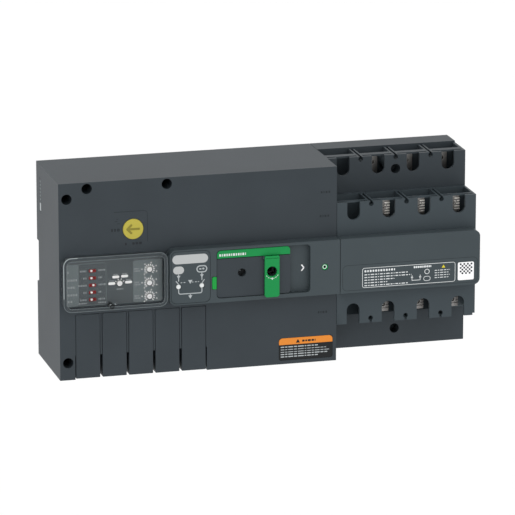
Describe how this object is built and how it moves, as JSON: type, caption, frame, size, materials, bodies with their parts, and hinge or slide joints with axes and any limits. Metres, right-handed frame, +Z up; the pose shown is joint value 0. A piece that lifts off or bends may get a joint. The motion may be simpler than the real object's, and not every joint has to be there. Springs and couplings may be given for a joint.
{
  "type": "automatic transfer switch",
  "caption": "Rail-mounted automatic transfer switch: control housing with settings under a smoked lid, sliding shutter, and a switch body with terminal slots.",
  "frame": {"origin": "middle of the floor of the rail channel across the back", "axes": "+X to the right seen from the front, +Y to the back, +Z up; the front faces -Y"},
  "size_m": [0.3514, 0.0959, 0.164],
  "materials": {
    "housing_plastic": "fine matt texture, dark grey",
    "belt_plastic": "fine matt texture, slightly lighter dark grey",
    "panel_plastic": "matt printed plate",
    "inner_plastic": "matt moulded plastic",
    "lid_clear": "smoked clear plastic",
    "green_plastic": "satin green",
    "green_bright": "satin bright green",
    "yellow_plastic": "satin yellow",
    "red_plastic": "red",
    "white_plastic": "white",
    "lamp_lens": "milky light guide",
    "label_black": "printed foil",
    "label_pale": "printed foil",
    "steel": "plated",
    "copper": "bare copper",
    "tinned": "tin-plated copper",
    "circuit_board": "solder mask"
  },
  "bodies": {
    "enclosure": {"control_housing": "housing_plastic", "switch_base": "housing_plastic", "switch_middle_body": "housing_plastic", "module_cover_1": "housing_plastic", "module_cover_2": "housing_plastic", "module_cover_3": "housing_plastic", "module_cover_4": "housing_plastic", "module_cover_5": "housing_plastic", "control_front_cover": "belt_plastic", "switch_front_cover": "belt_plastic", "diagram_panel": "belt_plastic", "rear_plate": "inner_plastic", "settings_panel": "panel_plastic", "dip_switch_block": "red_plastic", "controller_board": "circuit_board", "transformer": "steel", "source_1_arc_chutes": "steel", "source_2_arc_chutes": "steel", "mechanism_plate": "steel", "source_lamp_1": "lamp_lens", "source_lamp_2": "lamp_lens", "seal_bush": "green_plastic", "source_1_terminal_1": "tinned", "source_1_terminal_2": "tinned", "source_1_terminal_3": "tinned", "source_2_terminal_1": "tinned", "source_2_terminal_2": "tinned", "source_2_terminal_3": "tinned", "load_terminal_1": "tinned", "load_terminal_2": "tinned", "load_terminal_3": "tinned", "actuator_coil": "copper", "warning_label": "label_black", "rating_plate": "label_black", "code_label": "label_pale", "side_label": "label_pale"},
    "settings_lid": {"settings_lid": "lid_clear"},
    "dip_slider_1": {"dip_slider_1": "white_plastic"},
    "dip_slider_2": {"dip_slider_2": "white_plastic"},
    "dip_slider_3": {"dip_slider_3": "white_plastic"},
    "dip_slider_4": {"dip_slider_4": "white_plastic"},
    "dip_slider_5": {"dip_slider_5": "white_plastic"},
    "mode_selector": {"mode_selector": "white_plastic"},
    "delay_dial_1": {"delay_dial_1": "white_plastic"},
    "delay_dial_2": {"delay_dial_2": "white_plastic"},
    "delay_dial_3": {"delay_dial_3": "white_plastic"},
    "auto_manual_knob": {"auto_manual_knob": "yellow_plastic"},
    "release_latch": {"release_latch": "green_bright"},
    "shutter": {"shutter": "housing_plastic", "shutter_header": "green_plastic"},
    "padlock_bar": {"padlock_bar": "green_plastic"},
    "operating_spindle": {"operating_spindle": "inner_plastic"},
    "drive_link": {"drive_link": "steel", "position_flag": "inner_plastic", "actuator_plunger": "steel"},
    "source_1_contact_shaft": {"source_1_contact_shaft": "copper"},
    "source_2_contact_shaft": {"source_2_contact_shaft": "copper"},
    "din_rail_clip": {"din_rail_clip": "inner_plastic", "clip_spring": "steel"}
  },
  "joints": [
    {"name": "settings_lid_hinge", "type": "hinge", "parent": "enclosure", "child": "settings_lid", "pos_m": [-0.1312, -0.0825, 0.02115], "axis": [-1, 0, 0], "range_deg": [0, 110]},
    {"name": "dip_slider_1_slide", "type": "slide", "parent": "enclosure", "child": "dip_slider_1", "axis": [1, 0, 0], "range_m": [0, 0.0016]},
    {"name": "dip_slider_2_slide", "type": "slide", "parent": "enclosure", "child": "dip_slider_2", "axis": [1, 0, 0], "range_m": [0, 0.0016]},
    {"name": "dip_slider_3_slide", "type": "slide", "parent": "enclosure", "child": "dip_slider_3", "axis": [1, 0, 0], "range_m": [-0.0016, 0]},
    {"name": "dip_slider_4_slide", "type": "slide", "parent": "enclosure", "child": "dip_slider_4", "axis": [1, 0, 0], "range_m": [0, 0.0016]},
    {"name": "dip_slider_5_slide", "type": "slide", "parent": "enclosure", "child": "dip_slider_5", "axis": [1, 0, 0], "range_m": [0, 0.0016]},
    {"name": "mode_selector_turn", "type": "hinge", "parent": "enclosure", "child": "mode_selector", "pos_m": [-0.126, -0.074, -0.00165], "axis": [0, 1, 0], "range_deg": [-60, 120]},
    {"name": "delay_dial_1_turn", "type": "hinge", "parent": "enclosure", "child": "delay_dial_1", "pos_m": [-0.1012, -0.074, 0.0085], "axis": [0, 1, 0], "range_deg": [-180, 90]},
    {"name": "delay_dial_2_turn", "type": "hinge", "parent": "enclosure", "child": "delay_dial_2", "pos_m": [-0.1012, -0.074, -0.00285], "axis": [0, 1, 0], "range_deg": [-90, 180]},
    {"name": "delay_dial_3_turn", "type": "hinge", "parent": "enclosure", "child": "delay_dial_3", "pos_m": [-0.1012, -0.074, -0.0142], "axis": [0, 1, 0], "range_deg": [-45, 225]},
    {"name": "auto_manual_turn", "type": "hinge", "parent": "enclosure", "child": "auto_manual_knob", "pos_m": [-0.1143, -0.074, 0.04265], "axis": [0, 1, 0], "range_deg": [-90, 0]},
    {"name": "release_latch_push", "type": "slide", "parent": "enclosure", "child": "release_latch", "axis": [0, 1, 0], "range_m": [0, 0.002], "stiffness_N_per_m": 200, "springref_m": -0.001},
    {"name": "shutter_slide", "type": "slide", "parent": "enclosure", "child": "shutter", "axis": [1, 0, 0], "range_m": [0, 0.016]},
    {"name": "padlock_bar_swing", "type": "hinge", "parent": "shutter", "child": "padlock_bar", "pos_m": [-0.0017, -0.0882, 0.01455], "axis": [-1, 0, 0], "range_deg": [0, 80]},
    {"name": "operating_spindle_turn", "type": "hinge", "parent": "enclosure", "child": "operating_spindle", "pos_m": [-0.0017, -0.074, 0.00265], "axis": [0, -1, 0], "range_deg": [-45, 45]},
    {"name": "drive_link_slide", "type": "slide", "parent": "enclosure", "child": "drive_link", "axis": [0, 0, 1], "range_m": [-0.0058, 0.0058]},
    {"name": "source_1_contacts_turn", "type": "hinge", "parent": "enclosure", "child": "source_1_contact_shaft", "pos_m": [0.1156, -0.024, 0.00265], "axis": [-1, 0, 0], "range_deg": [-45, 45]},
    {"name": "source_2_contacts_turn", "type": "hinge", "parent": "enclosure", "child": "source_2_contact_shaft", "pos_m": [0.1156, -0.064, 0.00265], "axis": [-1, 0, 0], "range_deg": [-45, 45]},
    {"name": "rail_clip_slide", "type": "slide", "parent": "enclosure", "child": "din_rail_clip", "axis": [0, 0, -1], "range_m": [0, 0.004], "stiffness_N_per_m": 800, "springref_m": -0.003, "deforming": ["clip_spring"]}
  ],
  "couplings": [
    {"joint": "drive_link_slide", "follows": "source_1_contacts_turn", "m_per_rad": 0.0072025},
    {"joint": "operating_spindle_turn", "follows": "source_1_contacts_turn", "ratio": 1},
    {"joint": "source_2_contacts_turn", "follows": "source_1_contacts_turn", "ratio": -1}
  ]
}
